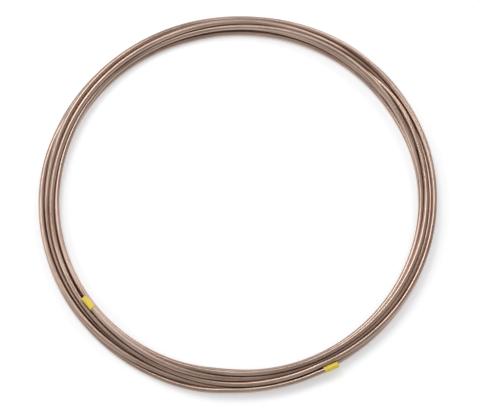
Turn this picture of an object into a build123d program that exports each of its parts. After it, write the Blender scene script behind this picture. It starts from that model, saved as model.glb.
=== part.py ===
from build123d import *
import math
import os

# A flat coil of bare copper-nickel line tube, with a soft cap pushed over each of its two cut ends.
# Millimetres. The origin is on the coil's axis at the level of the floor that it lies on, and +Z is up.
# Seen from above, angles are measured from +X. The wound turns are one turned solid of their section: four
# lanes on the floor and three in the grooves above them, numbered from the outside in. The outermost upper
# turn goes only part of the way round. At one end it crosses over into the turns beside it, and at the other
# it drifts out over the turn below and ends in its cap. The inner end lies on the innermost upper turn.

# The tube. Its section has flats, and its outside diameter is measured across them
tube_od = 4.76
tube_wall = 0.71
tube_flats = 12

# The wound turns
coil_outer_radius = 176.3
lower_turns = 4
upper_turns = 3
turn_overlap = 0.06

# The end caps
cap_length = 13.4
cap_wall = 0.5
cap_slip = 0.04
cap_end_thickness = 1.2
cap_end_chamfer = 0.7
cap_mouth_chamfer = 0.25
cap_to_turns_gap = 0.25

# The straight pieces at the tube's two cut ends, and how deep their bores are open
straight_end_length = 14.0
end_bore_depth = 13.5

# The outermost upper turn: where it starts, how far it goes round, and the run from there to its straight
# piece, with how far that drifts out. The filling beneath goes on a little way under the run
crossover_angle = 0.0
crossover_arc = 75.0
outer_turn_arc = 271.4
outer_run_length = 70.0
outer_run_drift = 1.4
filling_overrun = 8.0

# The inner end: where its straight piece starts, and the arc over which it climbs out of the turns
inner_end_angle = -139.9
inner_end_arc = 44.0

tube_radius = tube_od / 2
bore_radius = tube_radius - tube_wall
flat_side_down = -90 - 180 / tube_flats
turn_pitch = tube_od - turn_overlap
layer_rise = turn_pitch * math.sin(math.radians(60))
core_height = tube_radius + layer_rise / 2
tube_corner_radius = tube_radius / math.cos(math.radians(180 / tube_flats))
cap_bore_radius = tube_corner_radius + cap_slip
cap_radius = cap_bore_radius + cap_wall
cap_reach = cap_length - cap_end_thickness
cap_to_turn_centre = cap_radius + tube_radius + cap_to_turns_gap

# The centres of the turns, as radius and height
first_lane_radius = coil_outer_radius - tube_radius
lower_lanes = [(first_lane_radius - turn_pitch * lane, tube_radius) for lane in range(lower_turns)]
upper_lanes = [
    (first_lane_radius - turn_pitch * (lane + 0.5), tube_radius + layer_rise) for lane in range(upper_turns)
]


def section_plane(angle, radius=0, height=0, clockwise=True):
    """The upright plane across the turns at an angle, with its X axis outward and its normal along them."""
    outward = Vector(1, 0, 0).rotate(Axis.Z, angle)
    along = outward.rotate(Axis.Z, -90 if clockwise else 90)
    return Plane(origin=outward * radius + Vector(0, 0, height), x_dir=outward, z_dir=along)


def bend_axis(start, centre_direction, radius):
    """The axis of a bend that starts square to a plane and has its centre in the given direction."""
    centre = start.origin + centre_direction.normalized() * radius
    return Axis(centre, (start.origin - centre).cross(start.z_dir))


def after_bend(start, axis, angle):
    """The plane across the tube at the end of a bend."""
    reach = (start.origin - axis.position).rotate(axis, angle)
    x_dir = start.x_dir.rotate(axis, angle)
    return Plane(origin=axis.position + reach, x_dir=x_dir, z_dir=start.z_dir.rotate(axis, angle))


# The crossover bends in from the outer upper lane by one and a half lanes, and dips to the turns' mid height
up = Vector(0, 0, 1)
crossover_share = 1 - math.cos(math.radians(crossover_arc))
crossover_radius = upper_lanes[0][0] - 1.5 * turn_pitch / crossover_share
crossover_dip = math.asin(layer_rise / 2 / crossover_radius / crossover_share)
crossover_start = section_plane(crossover_angle, *upper_lanes[0])
crossover_inward = crossover_start.x_dir * -math.cos(crossover_dip) - up * math.sin(crossover_dip)
crossover_axis = bend_axis(crossover_start, crossover_inward, crossover_radius)

# The outer end drifts out over the lane below, and lifts until its cap clears that lane
outer_run_start = section_plane(crossover_angle + outer_turn_arc, *upper_lanes[0], clockwise=False)
outer_run_rise = math.sqrt(cap_to_turn_centre**2 - (turn_pitch / 2 - outer_run_drift) ** 2) - layer_rise
outer_run_inward = 1 / upper_lanes[0][0] - 2 * outer_run_drift / outer_run_length**2
outer_run_upward = 2 * outer_run_rise / outer_run_length**2
outer_run_radius = 1 / math.hypot(outer_run_inward, outer_run_upward)
outer_run_centre = up * outer_run_upward - outer_run_start.x_dir * outer_run_inward
outer_run_axis = bend_axis(outer_run_start, outer_run_centre, outer_run_radius)
outer_run_angle = math.degrees(outer_run_length / outer_run_radius)
outer_straight = after_bend(outer_run_start, outer_run_axis, outer_run_angle)

# The inner end lies on the innermost upper turn. Its bend is as wide as the outermost upper turn's, so that
# it dips outward into the turns behind it
inner_end_radius = upper_lanes[0][0]
inner_straight_drift = straight_end_length**2 / upper_lanes[-1][0] / 4
inner_straight_height = upper_lanes[-1][1] + cap_to_turn_centre
inner_end_share = 1 - math.cos(math.radians(inner_end_arc))
inner_end_slope = (inner_straight_height - core_height) / inner_end_radius / inner_end_share
inner_end_dip = math.asin(2 * inner_end_slope) / 2
inner_straight = section_plane(
    inner_end_angle, upper_lanes[-1][0] - inner_straight_drift, inner_straight_height
)
inner_inward = inner_straight.x_dir * -math.cos(inner_end_dip) - up * math.sin(inner_end_dip)
inner_bend_start = Plane(inner_straight.origin, x_dir=inner_straight.x_dir, z_dir=-inner_straight.z_dir)
inner_bend_axis = bend_axis(inner_bend_start, inner_inward, inner_end_radius * math.cos(inner_end_dip))

free_runs = [
    (crossover_start, crossover_axis, crossover_arc),
    (outer_run_start, outer_run_axis, outer_run_angle),
    (inner_bend_start, inner_bend_axis, inner_end_arc),
]
cut_ends = {"outer": outer_straight, "inner": inner_straight}

# The coil: the turns that go right round, the outermost upper turn, the free runs and the two bored cut ends
with BuildPart() as tube_coil:
    with BuildSketch(section_plane(crossover_angle)):
        with Locations(*lower_lanes, *upper_lanes[1:]):
            RegularPolygon(tube_radius, tube_flats, major_radius=False, rotation=flat_side_down)
        with BuildLine():
            Polyline(lower_lanes[1], lower_lanes[-1], upper_lanes[-1], upper_lanes[1], close=True)
        make_face()
    revolve(axis=Axis.Z)
    with BuildSketch(section_plane(crossover_angle)):
        with Locations(upper_lanes[0]):
            RegularPolygon(tube_radius, tube_flats, major_radius=False, rotation=flat_side_down)
    revolve(axis=Axis.Z, revolution_arc=outer_turn_arc)
    with BuildSketch(section_plane(crossover_angle)):
        with BuildLine():
            Polyline(upper_lanes[0], upper_lanes[1], lower_lanes[1], lower_lanes[0], close=True)
        make_face()
    revolve(axis=Axis.Z, revolution_arc=outer_turn_arc + filling_overrun)
    for start, axis, arc in free_runs:
        with BuildSketch(start):
            RegularPolygon(tube_radius, tube_flats, major_radius=False, rotation=flat_side_down)
        revolve(axis=axis, revolution_arc=arc)
    for straight in cut_ends.values():
        with BuildSketch(straight):
            RegularPolygon(tube_radius, tube_flats, major_radius=False, rotation=flat_side_down)
        extrude(amount=straight_end_length)
    for straight in cut_ends.values():
        with BuildSketch(straight.offset(straight_end_length)):
            Circle(bore_radius)
        extrude(amount=-end_bore_depth, mode=Mode.SUBTRACT)

# The caps: closed cups, turned about the straight tube that they are pushed over
end_caps = []
for end_name, straight in cut_ends.items():
    mouth = straight.offset(straight_end_length - cap_reach)
    with BuildPart() as end_cap:
        with BuildSketch(Plane(mouth.origin, x_dir=mouth.x_dir, z_dir=-mouth.y_dir)):
            with BuildLine():
                Polyline(
                    (cap_bore_radius, 0),
                    (cap_radius, 0),
                    (cap_radius, cap_length),
                    (0, cap_length),
                    (0, cap_reach),
                    (cap_bore_radius, cap_reach),
                    close=True,
                )
            profile = make_face()
            corners = profile.vertices()
            chamfer(corners.sort_by_distance((cap_radius, cap_length))[0], cap_end_chamfer)
            chamfer(corners.sort_by_distance((cap_bore_radius, 0))[0], cap_mouth_chamfer)
        revolve(axis=Axis(mouth.origin, mouth.z_dir))
    end_cap.part.label = f"end_cap_{end_name}"
    end_caps.append(end_cap.part)

tube_coil.part.label = "tube_coil"
os.makedirs("parts", exist_ok=True)
for piece in [tube_coil.part, *end_caps]:
    export_step(piece, f"parts/{piece.label}.step")
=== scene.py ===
import math
import bpy
import bmesh
import numpy as np
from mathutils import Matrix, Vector


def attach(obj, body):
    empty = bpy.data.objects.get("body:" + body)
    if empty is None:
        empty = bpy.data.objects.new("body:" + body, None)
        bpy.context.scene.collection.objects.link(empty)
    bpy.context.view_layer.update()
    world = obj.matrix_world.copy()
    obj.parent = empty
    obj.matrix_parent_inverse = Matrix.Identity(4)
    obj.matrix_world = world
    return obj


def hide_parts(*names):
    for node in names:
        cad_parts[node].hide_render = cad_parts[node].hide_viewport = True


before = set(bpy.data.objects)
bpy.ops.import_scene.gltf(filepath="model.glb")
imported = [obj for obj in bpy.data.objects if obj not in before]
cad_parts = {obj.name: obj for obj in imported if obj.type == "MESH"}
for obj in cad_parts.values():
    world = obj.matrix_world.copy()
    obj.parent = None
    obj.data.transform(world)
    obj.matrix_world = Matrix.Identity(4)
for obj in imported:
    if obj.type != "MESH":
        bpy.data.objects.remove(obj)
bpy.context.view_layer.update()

# The coil
# One length of copper-nickel line tube, drawn, annealed and wound by hand into a loose flat coil of a little
# over seven turns. Nothing ties it: the turns lie on and beside each other, and cross where one slips over
# the next. It is bare metal with a satin, slightly browned skin and fine lines along it from the drawing die.
tube_radius = 2.38
tube_wall = 0.71
bore_depth = 13.0
room_for_cap = 3.0
turn_count = 7

# Where the two cut ends lie: the cut face and the start of the straight piece behind it, in millimetres
outer_cut_face = np.array((85.194, -151.766, 8.496))
outer_straight_start = np.array((72.270, -157.118, 7.916))
inner_straight_start = np.array((-123.816, -104.263, 12.084))
inner_cut_face = np.array((-132.834, -93.554, 12.084))

# The route of each turn between them, by the places where it bends, climbs or comes down: the angle in
# degrees clockwise seen from above, and the radius and height of the tube's middle in millimetres. Low is on
# the floor, and high is on top of a turn that lies on the floor
low = tube_radius
high = 3 * tube_radius
route = (
    # The outermost turn, down from the straight end to the floor
    ((75, 173.2, 7.1), (90, 173.8, 6.3), (105, 174.9, 3.3), (120, 174.5, low), (150, 174.0, low),
     (195, 172.9, low), (215, 171.8, low), (240, 172.2, low), (270, 172.6, low), (285, 173.4, low),
     (315, 175.5, low), (330, 175.3, low), (345, 174.7, low)),
    # Inside it on the floor, up over it, back in to the floor and up again
    ((0, 173.3, low), (20, 171.2, low), (45, 170.5, low), (75, 170.4, low), (90, 171.1, low),
     (105, 170.3, 3.5), (120, 171.7, 6.0), (135, 173.2, 7.0), (150, 173.8, high), (180, 173.3, high),
     (195, 172.0, high), (210, 169.6, 6.4), (225, 168.5, 5.8), (240, 168.2, 4.7), (260, 167.8, low),
     (270, 167.6, low), (285, 166.9, low), (302, 165.6, low), (315, 166.1, 4.0), (330, 168.4, 7.6),
     (345, 166.6, 7.8)),
    # Up to the third layer, in and down to the second, and up to the third once more
    ((0, 165.8, 8.6), (30, 163.4, 10.7), (75, 161.2, 11.5), (90, 160.4, 11.0), (105, 160.0, 9.7),
     (120, 159.8, 7.7), (135, 159.8, high), (195, 159.4, high), (225, 161.5, high), (250, 161.3, 6.9),
     (285, 163.0, 10.0), (300, 163.3, 11.0), (315, 162.8, 11.6), (330, 162.0, 10.1), (345, 161.6, 7.6)),
    # On the second layer, then down to the floor as the innermost turn there
    ((0, 161.2, high), (30, 160.3, high), (60, 160.0, high), (75, 159.7, 7.0), (90, 158.7, 6.0),
     (105, 158.4, 2.8), (120, 158.7, low), (165, 159.9, low), (210, 161.3, low), (225, 160.3, low),
     (245, 158.7, low), (255, 158.5, low), (285, 159.2, low), (315, 160.6, low), (345, 161.7, low)),
    # On the floor beside it, with a short hump and a longer one
    ((0, 161.7, low), (15, 161.1, low), (30, 160.9, low), (75, 160.9, low), (90, 161.7, 2.8),
     (105, 162.1, 5.8), (120, 163.2, 3.8), (135, 163.8, low), (180, 165.0, low), (207, 166.0, low),
     (225, 165.1, low), (250, 163.4, low), (270, 163.2, 4.0), (300, 162.7, 6.2), (315, 162.2, 6.8),
     (330, 164.1, 5.6), (345, 166.4, 2.6)),
    # Out along the floor, up to the third layer, and out and down to the second
    ((0, 166.5, low), (15, 165.9, low), (75, 165.6, low), (90, 166.4, low), (105, 165.5, low),
     (120, 167.8, low), (135, 168.6, low), (150, 169.0, 2.6), (165, 169.1, 4.2), (180, 168.5, 5.8),
     (195, 168.0, 9.5), (210, 168.5, 11.2), (225, 168.6, 10.6), (240, 168.9, 10.2), (255, 169.2, 8.5),
     (270, 170.2, 6.7), (285, 171.6, 6.6), (300, 173.4, 7.0), (330, 173.4, 6.9), (345, 173.6, 8.5)),
    # In over the others, down to the second layer, up again, and out and down to the floor
    ((0, 172.7, 9.6), (15, 171.7, 9.8), (30, 171.0, 8.4), (45, 169.8, 8.6), (60, 168.1, 10.5),
     (75, 168.3, 10.0), (90, 168.9, 6.8), (105, 167.1, high), (120, 166.5, high), (135, 166.1, 6.8),
     (165, 164.9, high), (180, 164.3, 7.8), (195, 163.3, 9.8), (210, 163.8, 10.1), (225, 163.9, 11.1),
     (240, 164.3, 10.3), (255, 164.8, 10.2), (270, 166.3, 9.9), (285, 167.6, 8.8), (300, 169.2, 5.8),
     (315, 170.6, 2.6), (330, 170.6, 2.6), (345, 170.6, 4.8)),
    # Up and in to the inner straight end, which lies on top
    ((0, 169.8, 5.7), (30, 166.5, high), (45, 165.3, high), (75, 164.4, high), (90, 164.4, 8.3),
     (105, 164.7, 11.2), (120, 163.1, 11.2), (135, 162.2, 12.1)),
)


def clockwise_angle(point, turns=0):
    return 360 * turns - math.degrees(math.atan2(point[1], point[0]))


def on_straight(start, end, angle):
    """The angle, radius and height of a straight piece where it passes an angle."""
    along = (end - start) / np.linalg.norm(end - start)
    across = np.array((math.sin(math.radians(angle)), math.cos(math.radians(angle)), 0))
    point = start - along * (start @ across) / (along @ across)
    return angle, math.hypot(point[0], point[1]), point[2]


def smoothed(values, width):
    reach = int(3 * width) + 1
    weights = np.exp(-0.5 * (np.arange(-reach, reach + 1) / width) ** 2)
    return np.convolve(np.pad(values, reach, mode="edge"), weights / weights.sum(), mode="valid")


# The tube is a row of rings, the same number to each turn, so each ring lies beside or on the rings of the
# other turns at its own angle
rings_per_turn = 240
first_angle = clockwise_angle(outer_cut_face)
last_angle = clockwise_angle(inner_cut_face, turn_count)
ring_count = int((last_angle - first_angle) / 360 * rings_per_turn) + 1
ring_angles = first_angle + np.arange(ring_count) * 360 / rings_per_turn

# The rings of the straight ends stay put, and the route joins them through its places
outer_held = 7
inner_held = 6
outer_angles, inner_angles = ring_angles[:outer_held], ring_angles[-inner_held:]
outer_rings = [on_straight(outer_straight_start, outer_cut_face, angle) for angle in outer_angles]
inner_rings = [on_straight(inner_straight_start, inner_cut_face, angle) for angle in inner_angles]
places = [
    (360 * turns + angle, radius, height)
    for turns, turn_places in enumerate(route)
    for angle, radius, height in turn_places
]
held = [*range(outer_held), *range(ring_count - inner_held, ring_count)]
held_radius, held_height = np.array(outer_rings + inner_rings)[:, 1:].T
bend_width = 3
route_angles, radii, heights = np.array(outer_rings + places + inner_rings).T
route_radius = smoothed(np.interp(ring_angles, route_angles, radii), bend_width)
route_height = smoothed(np.interp(ring_angles, route_angles, heights), bend_width)

# The rings inside the caps are as thick as the caps, and past the caps the tube bends more and more freely
capped_rings, uncapped_rings = 3, 11
stiff_rings, free_rings = 6, 16
rings_from_end = np.minimum(np.arange(ring_count), np.arange(ring_count)[::-1])
thickness = np.interp(rings_from_end, (capped_rings, uncapped_rings), (room_for_cap, tube_radius))
looseness = np.interp(rings_from_end, (stiff_rings, free_rings), (0, 1))

# The turns settle: each ring keeps to its route, stiffens its neighbours along the tube, and is pushed off
# the floor and off every ring that it would cut into. The last rounds only push
pulled_rounds = 200
stiff_rounds = 248
settle_rounds = 260
route_pull = 0.05
stiffness = 0.2
push_share = 0.8
kink_width = 1
contact_gap = 0.02
ceiling = 12.6
smallest_distance = 1e-9

# Where a turn passes an axis, the tube's middle stays within this half width of the coil
outer_limit = 173.85
near_axis = 0.9
share_across = np.maximum(abs(np.cos(np.radians(ring_angles))), abs(np.sin(np.radians(ring_angles))))
most_radius = np.where(share_across > near_axis, outer_limit / share_across, np.inf)

lay_radius, lay_height = route_radius.copy(), route_height.copy()
for settle_round in range(settle_rounds):
    if settle_round < pulled_rounds:
        lay_radius += route_pull * (route_radius - lay_radius)
        lay_height += route_pull * (route_height - lay_height)
        for values in (lay_radius, lay_height):
            values += stiffness * looseness * (smoothed(values, bend_width) - values)
    elif settle_round < stiff_rounds:
        for values in (lay_radius, lay_height):
            values += stiffness * (smoothed(values, kink_width) - values)
    push_radius, push_height = np.zeros(ring_count), np.zeros(ring_count)
    for turns_apart in range(1, turn_count + 1):
        apart = turns_apart * rings_per_turn
        near, far = slice(0, ring_count - apart), slice(apart, ring_count)
        step_radius = lay_radius[far] - lay_radius[near]
        step_height = lay_height[far] - lay_height[near]
        distance = np.hypot(step_radius, step_height) + smallest_distance
        cut = np.maximum(0, thickness[near] + thickness[far] + contact_gap - distance) / distance / 2
        push_radius[near] -= step_radius * cut
        push_radius[far] += step_radius * cut
        push_height[near] -= step_height * cut
        push_height[far] += step_height * cut
    lay_radius = np.minimum(lay_radius + push_share * push_radius, most_radius)
    lay_height = np.clip(lay_height + push_share * push_height, tube_radius, ceiling)
    lay_radius[held], lay_height[held] = held_radius, held_height

turn = np.radians(ring_angles)
centres = np.stack([lay_radius * np.cos(turn), -lay_radius * np.sin(turn), lay_height], axis=1)
centres[0], centres[-1] = outer_cut_face, inner_cut_face
tangents = np.gradient(centres, axis=0)
tangents /= np.linalg.norm(tangents, axis=1)[:, None]
along_tube = np.concatenate([[0], np.cumsum(np.linalg.norm(np.diff(centres, axis=0), axis=1))]) / 1000


def ring_at(mesh, centre, direction, radius, sides):
    """A ring of vertices round a point, square to a direction."""
    sideways = Vector(direction).cross(Vector((0, 0, 1))).normalized()
    upward = sideways.cross(Vector(direction))
    made = []
    for side in range(sides):
        angle = 2 * math.pi * side / sides
        spoke = math.cos(angle) * sideways + math.sin(angle) * upward
        made.append(mesh.verts.new((Vector(centre) + radius * spoke) / 1000))
    return made


def band(mesh, ring, next_ring):
    """The smooth faces between two rings."""
    made = []
    for side in range(len(ring)):
        after = (side + 1) % len(ring)
        face = mesh.faces.new((ring[side], ring[after], next_ring[after], next_ring[side]))
        face.smooth = True
        made.append(face)
    return made


def linked_object(name, mesh, material):
    bmesh.ops.recalc_face_normals(mesh, faces=mesh.faces)
    data = bpy.data.meshes.new(name)
    mesh.to_mesh(data)
    mesh.free()
    data.materials.append(material)
    made = bpy.data.objects.new(name, data)
    bpy.context.scene.collection.objects.link(made)
    return made


# The mesh: the outer skin, and at each cut end the wall's face and the open bore behind it
tube_sides = 20
bore_radius = tube_radius - tube_wall
tube = bmesh.new()
uv_layer = tube.loops.layers.uv.new("along_and_around")


def skin(ring, next_ring, v, next_v):
    for side, face in enumerate(band(tube, ring, next_ring)):
        u, next_u = side / tube_sides, (side + 1) / tube_sides
        for loop, uv in zip(face.loops, ((u, v), (next_u, v), (next_u, next_v), (u, next_v))):
            loop[uv_layer].uv = uv


skin_rings = [
    ring_at(tube, centre, tangent, tube_radius, tube_sides)
    for centre, tangent in zip(centres, tangents)
]
for ring in range(ring_count - 1):
    skin(skin_rings[ring], skin_rings[ring + 1], along_tube[ring], along_tube[ring + 1])
for end, inward in ((0, 1), (-1, -1)):
    cut_face, direction = centres[end], tangents[end]
    bore_end_centre = cut_face + inward * bore_depth * direction
    bore_mouth = ring_at(tube, cut_face, direction, bore_radius, tube_sides)
    bore_end = ring_at(tube, bore_end_centre, direction, bore_radius, tube_sides)
    rings = [skin_rings[end], bore_mouth, bore_end]
    for ring, next_ring in zip(rings, rings[1:]):
        if inward > 0:
            ring, next_ring = next_ring, ring
        skin(ring, next_ring, along_tube[end], along_tube[end])
    tube.faces.new(bore_end if inward > 0 else bore_end[::-1])


def shaded_material(name):
    """A new material with nothing but a Principled shader, with its node tree and that shader."""
    material = bpy.data.materials.new(name)
    material.use_nodes = True
    tree = material.node_tree
    tree.nodes.clear()
    output = tree.nodes.new("ShaderNodeOutputMaterial")
    shader = tree.nodes.new("ShaderNodeBsdfPrincipled")
    tree.links.new(shader.outputs["BSDF"], output.inputs["Surface"])
    return material, tree, shader


def noise_over(tree, coordinates, scale, detail, roughness=0.5):
    noise = tree.nodes.new("ShaderNodeTexNoise")
    noise.inputs["Scale"].default_value = scale
    noise.inputs["Detail"].default_value = detail
    noise.inputs["Roughness"].default_value = roughness
    tree.links.new(coordinates, noise.inputs["Vector"])
    return noise.outputs["Fac"]


def stretched(tree, coordinates, amounts):
    mapping = tree.nodes.new("ShaderNodeMapping")
    mapping.inputs["Scale"].default_value = amounts
    tree.links.new(coordinates, mapping.inputs["Vector"])
    return mapping.outputs["Vector"]


def colour_by(tree, mask, shader, *stops):
    """The shader's colour, from one stop of position and colour to the other."""
    ramp = tree.nodes.new("ShaderNodeValToRGB")
    for element, (position, colour) in zip(ramp.color_ramp.elements, stops):
        element.position = position
        element.color = colour
    tree.links.new(mask, ramp.inputs["Fac"])
    tree.links.new(ramp.outputs["Color"], shader.inputs["Base Color"])


def relief_by(tree, height, shader, strength, distance):
    bump = tree.nodes.new("ShaderNodeBump")
    bump.inputs["Strength"].default_value = strength
    bump.inputs["Distance"].default_value = distance
    tree.links.new(height, bump.inputs["Height"])
    tree.links.new(bump.outputs["Normal"], shader.inputs["Normal"])


# Bare copper-nickel: a satin metal, browner where it has been handled and fine-lined along the tube
metal, tree, shader = shaded_material("bare_copper_nickel")
shader.inputs["Metallic"].default_value = 1.0
place = tree.nodes.new("ShaderNodeUVMap")
place.uv_map = "along_and_around"
die_lines = noise_over(tree, stretched(tree, place.outputs["UV"], (46, 6, 1)), scale=1.0, detail=4.0)
stain_places = stretched(tree, place.outputs["UV"], (2, 14, 1))
stain = noise_over(tree, stain_places, scale=1.0, detail=5.0, roughness=0.6)
colour_by(tree, stain, shader, (0.32, (0.36, 0.243, 0.192, 1)), (0.68, (0.62, 0.468, 0.388, 1)))
sheen_range = tree.nodes.new("ShaderNodeMapRange")
sheen_range.inputs["From Min"].default_value = 0.3
sheen_range.inputs["From Max"].default_value = 0.7
sheen_range.inputs["To Min"].default_value = 0.23
sheen_range.inputs["To Max"].default_value = 0.38
tree.links.new(stain, sheen_range.inputs["Value"])
tree.links.new(sheen_range.outputs["Result"], shader.inputs["Roughness"])
relief_by(tree, die_lines, shader, strength=0.25, distance=0.00003)

wound_tube = linked_object("wound_tube", tube, metal)
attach(wound_tube, "root")
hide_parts("tube_coil")

# The end caps
# Two soft caps of yellow vinyl, dip-moulded over a pin and pushed by hand over the cut ends. Each has a round
# closed end, a slightly thicker rolled lip at its mouth, and the dull sheen of soft plastic.
cap_inner_radius = 2.504
cap_side_radius = 2.74
cap_length = 13.1
cap_reach = 12.2
cap_round = 1.3
mouth_bevel = 0.12
lip_radius = 2.92
lip_length = 0.9
lip_round = 0.15
lip_slope = 0.5
side_middle = 0.55 * cap_length
end_flat = 0.6
cap_sides = 40
cap_steps = 8

vinyl, tree, shader = shaded_material("yellow_vinyl")
shader.inputs["Metallic"].default_value = 0.0
shader.inputs["Roughness"].default_value = 0.42
place = tree.nodes.new("ShaderNodeTexCoord")
cloud = noise_over(tree, place.outputs["Object"], scale=260.0, detail=3.0)
colour_by(tree, cloud, shader, (0.3, (0.85, 0.63, 0.05, 1)), (0.7, (0.95, 0.75, 0.09, 1)))
grain = noise_over(tree, place.outputs["Object"], scale=1800.0, detail=2.0)
relief_by(tree, grain, shader, strength=0.15, distance=0.00004)

# The outline, as radius and reach from the mouth: from the inside out to the mouth, over the lip, and along
# the side to the rounded end
cap_outline = [(cap_inner_radius, cap_reach), (cap_inner_radius, mouth_bevel)]
cap_outline += [(cap_inner_radius + mouth_bevel, 0.0), (lip_radius - lip_round, 0.0)]
cap_outline += [(lip_radius, lip_round), (lip_radius, lip_length)]
cap_outline += [(cap_side_radius, lip_length + lip_slope), (cap_side_radius, side_middle)]
for step in range(cap_steps + 1):
    angle = math.pi / 2 * step / cap_steps
    radius = cap_side_radius - cap_round * (1 - math.cos(angle))
    cap_outline.append((radius, cap_length - cap_round * (1 - math.sin(angle))))
cap_outline.append((end_flat, cap_length))

for cap_name, start, cut_face in (
    ("outer", outer_straight_start, outer_cut_face),
    ("inner", inner_straight_start, inner_cut_face),
):
    axis = (cut_face - start) / np.linalg.norm(cut_face - start)
    mouth = cut_face - axis * cap_reach
    cap = bmesh.new()
    rings = [ring_at(cap, mouth + axis * reach, axis, radius, cap_sides) for radius, reach in cap_outline]
    for ring, next_ring in zip(rings, rings[1:]):
        band(cap, ring, next_ring)
    cap.faces.new(rings[0])
    cap.faces.new(rings[-1])
    cap_object = linked_object(f"vinyl_cap_{cap_name}", cap, vinyl)
    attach(cap_object, "root")
    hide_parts(f"end_cap_{cap_name}")

# The floor, the light and the camera
# A plain white floor that keeps the coil's soft shadow, a pale room, and three soft lamps overhead: the
# strongest one up behind, and two weaker ones, lower down, to the left and behind to the right.
floor_reach = 4
floor_mesh = bpy.data.meshes.new("floor")
floor_corners = [(x * floor_reach, y * floor_reach, 0) for x, y in ((-1, -1), (1, -1), (1, 1), (-1, 1))]
floor_mesh.from_pydata(floor_corners, [], [(0, 1, 2, 3)])
floor = bpy.data.objects.new("floor", floor_mesh)
bpy.context.scene.collection.objects.link(floor)
paper = bpy.data.materials.new("white_paper")
paper.use_nodes = True
tree = paper.node_tree
shader = tree.nodes["Principled BSDF"]
shader.inputs["Base Color"].default_value = (0.90, 0.91, 0.93, 1)
shader.inputs["Roughness"].default_value = 0.9
shader.inputs["Specular IOR Level"].default_value = 0.0
shader.inputs["Emission Color"].default_value = (1, 1, 1, 1)

# The paper looks a little brighter to the camera, in reflections and through glass
paper_glow = 0.32
ray = tree.nodes.new("ShaderNodeLightPath")
seen = ray.outputs["Is Camera Ray"]
for other_way in ("Is Glossy Ray", "Is Transmission Ray"):
    either = tree.nodes.new("ShaderNodeMath")
    either.operation = "ADD"
    either.use_clamp = True
    tree.links.new(seen, either.inputs[0])
    tree.links.new(ray.outputs[other_way], either.inputs[1])
    seen = either.outputs["Value"]
glow = tree.nodes.new("ShaderNodeMath")
glow.operation = "MULTIPLY"
glow.inputs[1].default_value = paper_glow
tree.links.new(seen, glow.inputs[0])
tree.links.new(glow.outputs["Value"], shader.inputs["Emission Strength"])
floor.data.materials.append(paper)

world = bpy.data.worlds.new("pale_room")
world.use_nodes = True
bpy.context.scene.world = world
background = world.node_tree.nodes["Background"]
background.inputs["Color"].default_value = (1.0, 1.0, 1.0, 1)
background.inputs["Strength"].default_value = 0.475

lamp_size = 1.0
for lamp_name, place, watts in (
    ("soft_lamp_back", (-0.70, 1.21, 2.07), 16),
    ("soft_lamp_left", (-1.97, 0.0, 1.54), 8),
    ("soft_lamp_right", (0.99, 1.71, 1.54), 9),
):
    lamp_data = bpy.data.lights.new(lamp_name, "AREA")
    lamp_data.shape = "SQUARE"
    lamp_data.size = lamp_size
    lamp_data.energy = watts
    lamp = bpy.data.objects.new(lamp_name, lamp_data)
    bpy.context.scene.collection.objects.link(lamp)
    lamp.location = place
    lamp.rotation_mode = "QUATERNION"
    lamp.rotation_quaternion = (-Vector(place)).to_track_quat("-Z", "Y")

camera_distance = 1.8
camera_elevation = math.radians(71.58)
camera_target = Vector((0.00174, -0.00446, 0))
camera_data = bpy.data.cameras.new("camera")
camera_data.sensor_width = 36
camera_data.lens = 152.9
camera_data.clip_end = 50
camera = bpy.data.objects.new("camera", camera_data)
bpy.context.scene.collection.objects.link(camera)
bpy.context.scene.camera = camera
back = Vector((0, -math.cos(camera_elevation), math.sin(camera_elevation)))
camera.location = camera_target + back * camera_distance
camera.rotation_mode = "QUATERNION"
camera.rotation_quaternion = (-back).to_track_quat("-Z", "Y")

bpy.context.scene.view_settings.view_transform = "Standard"
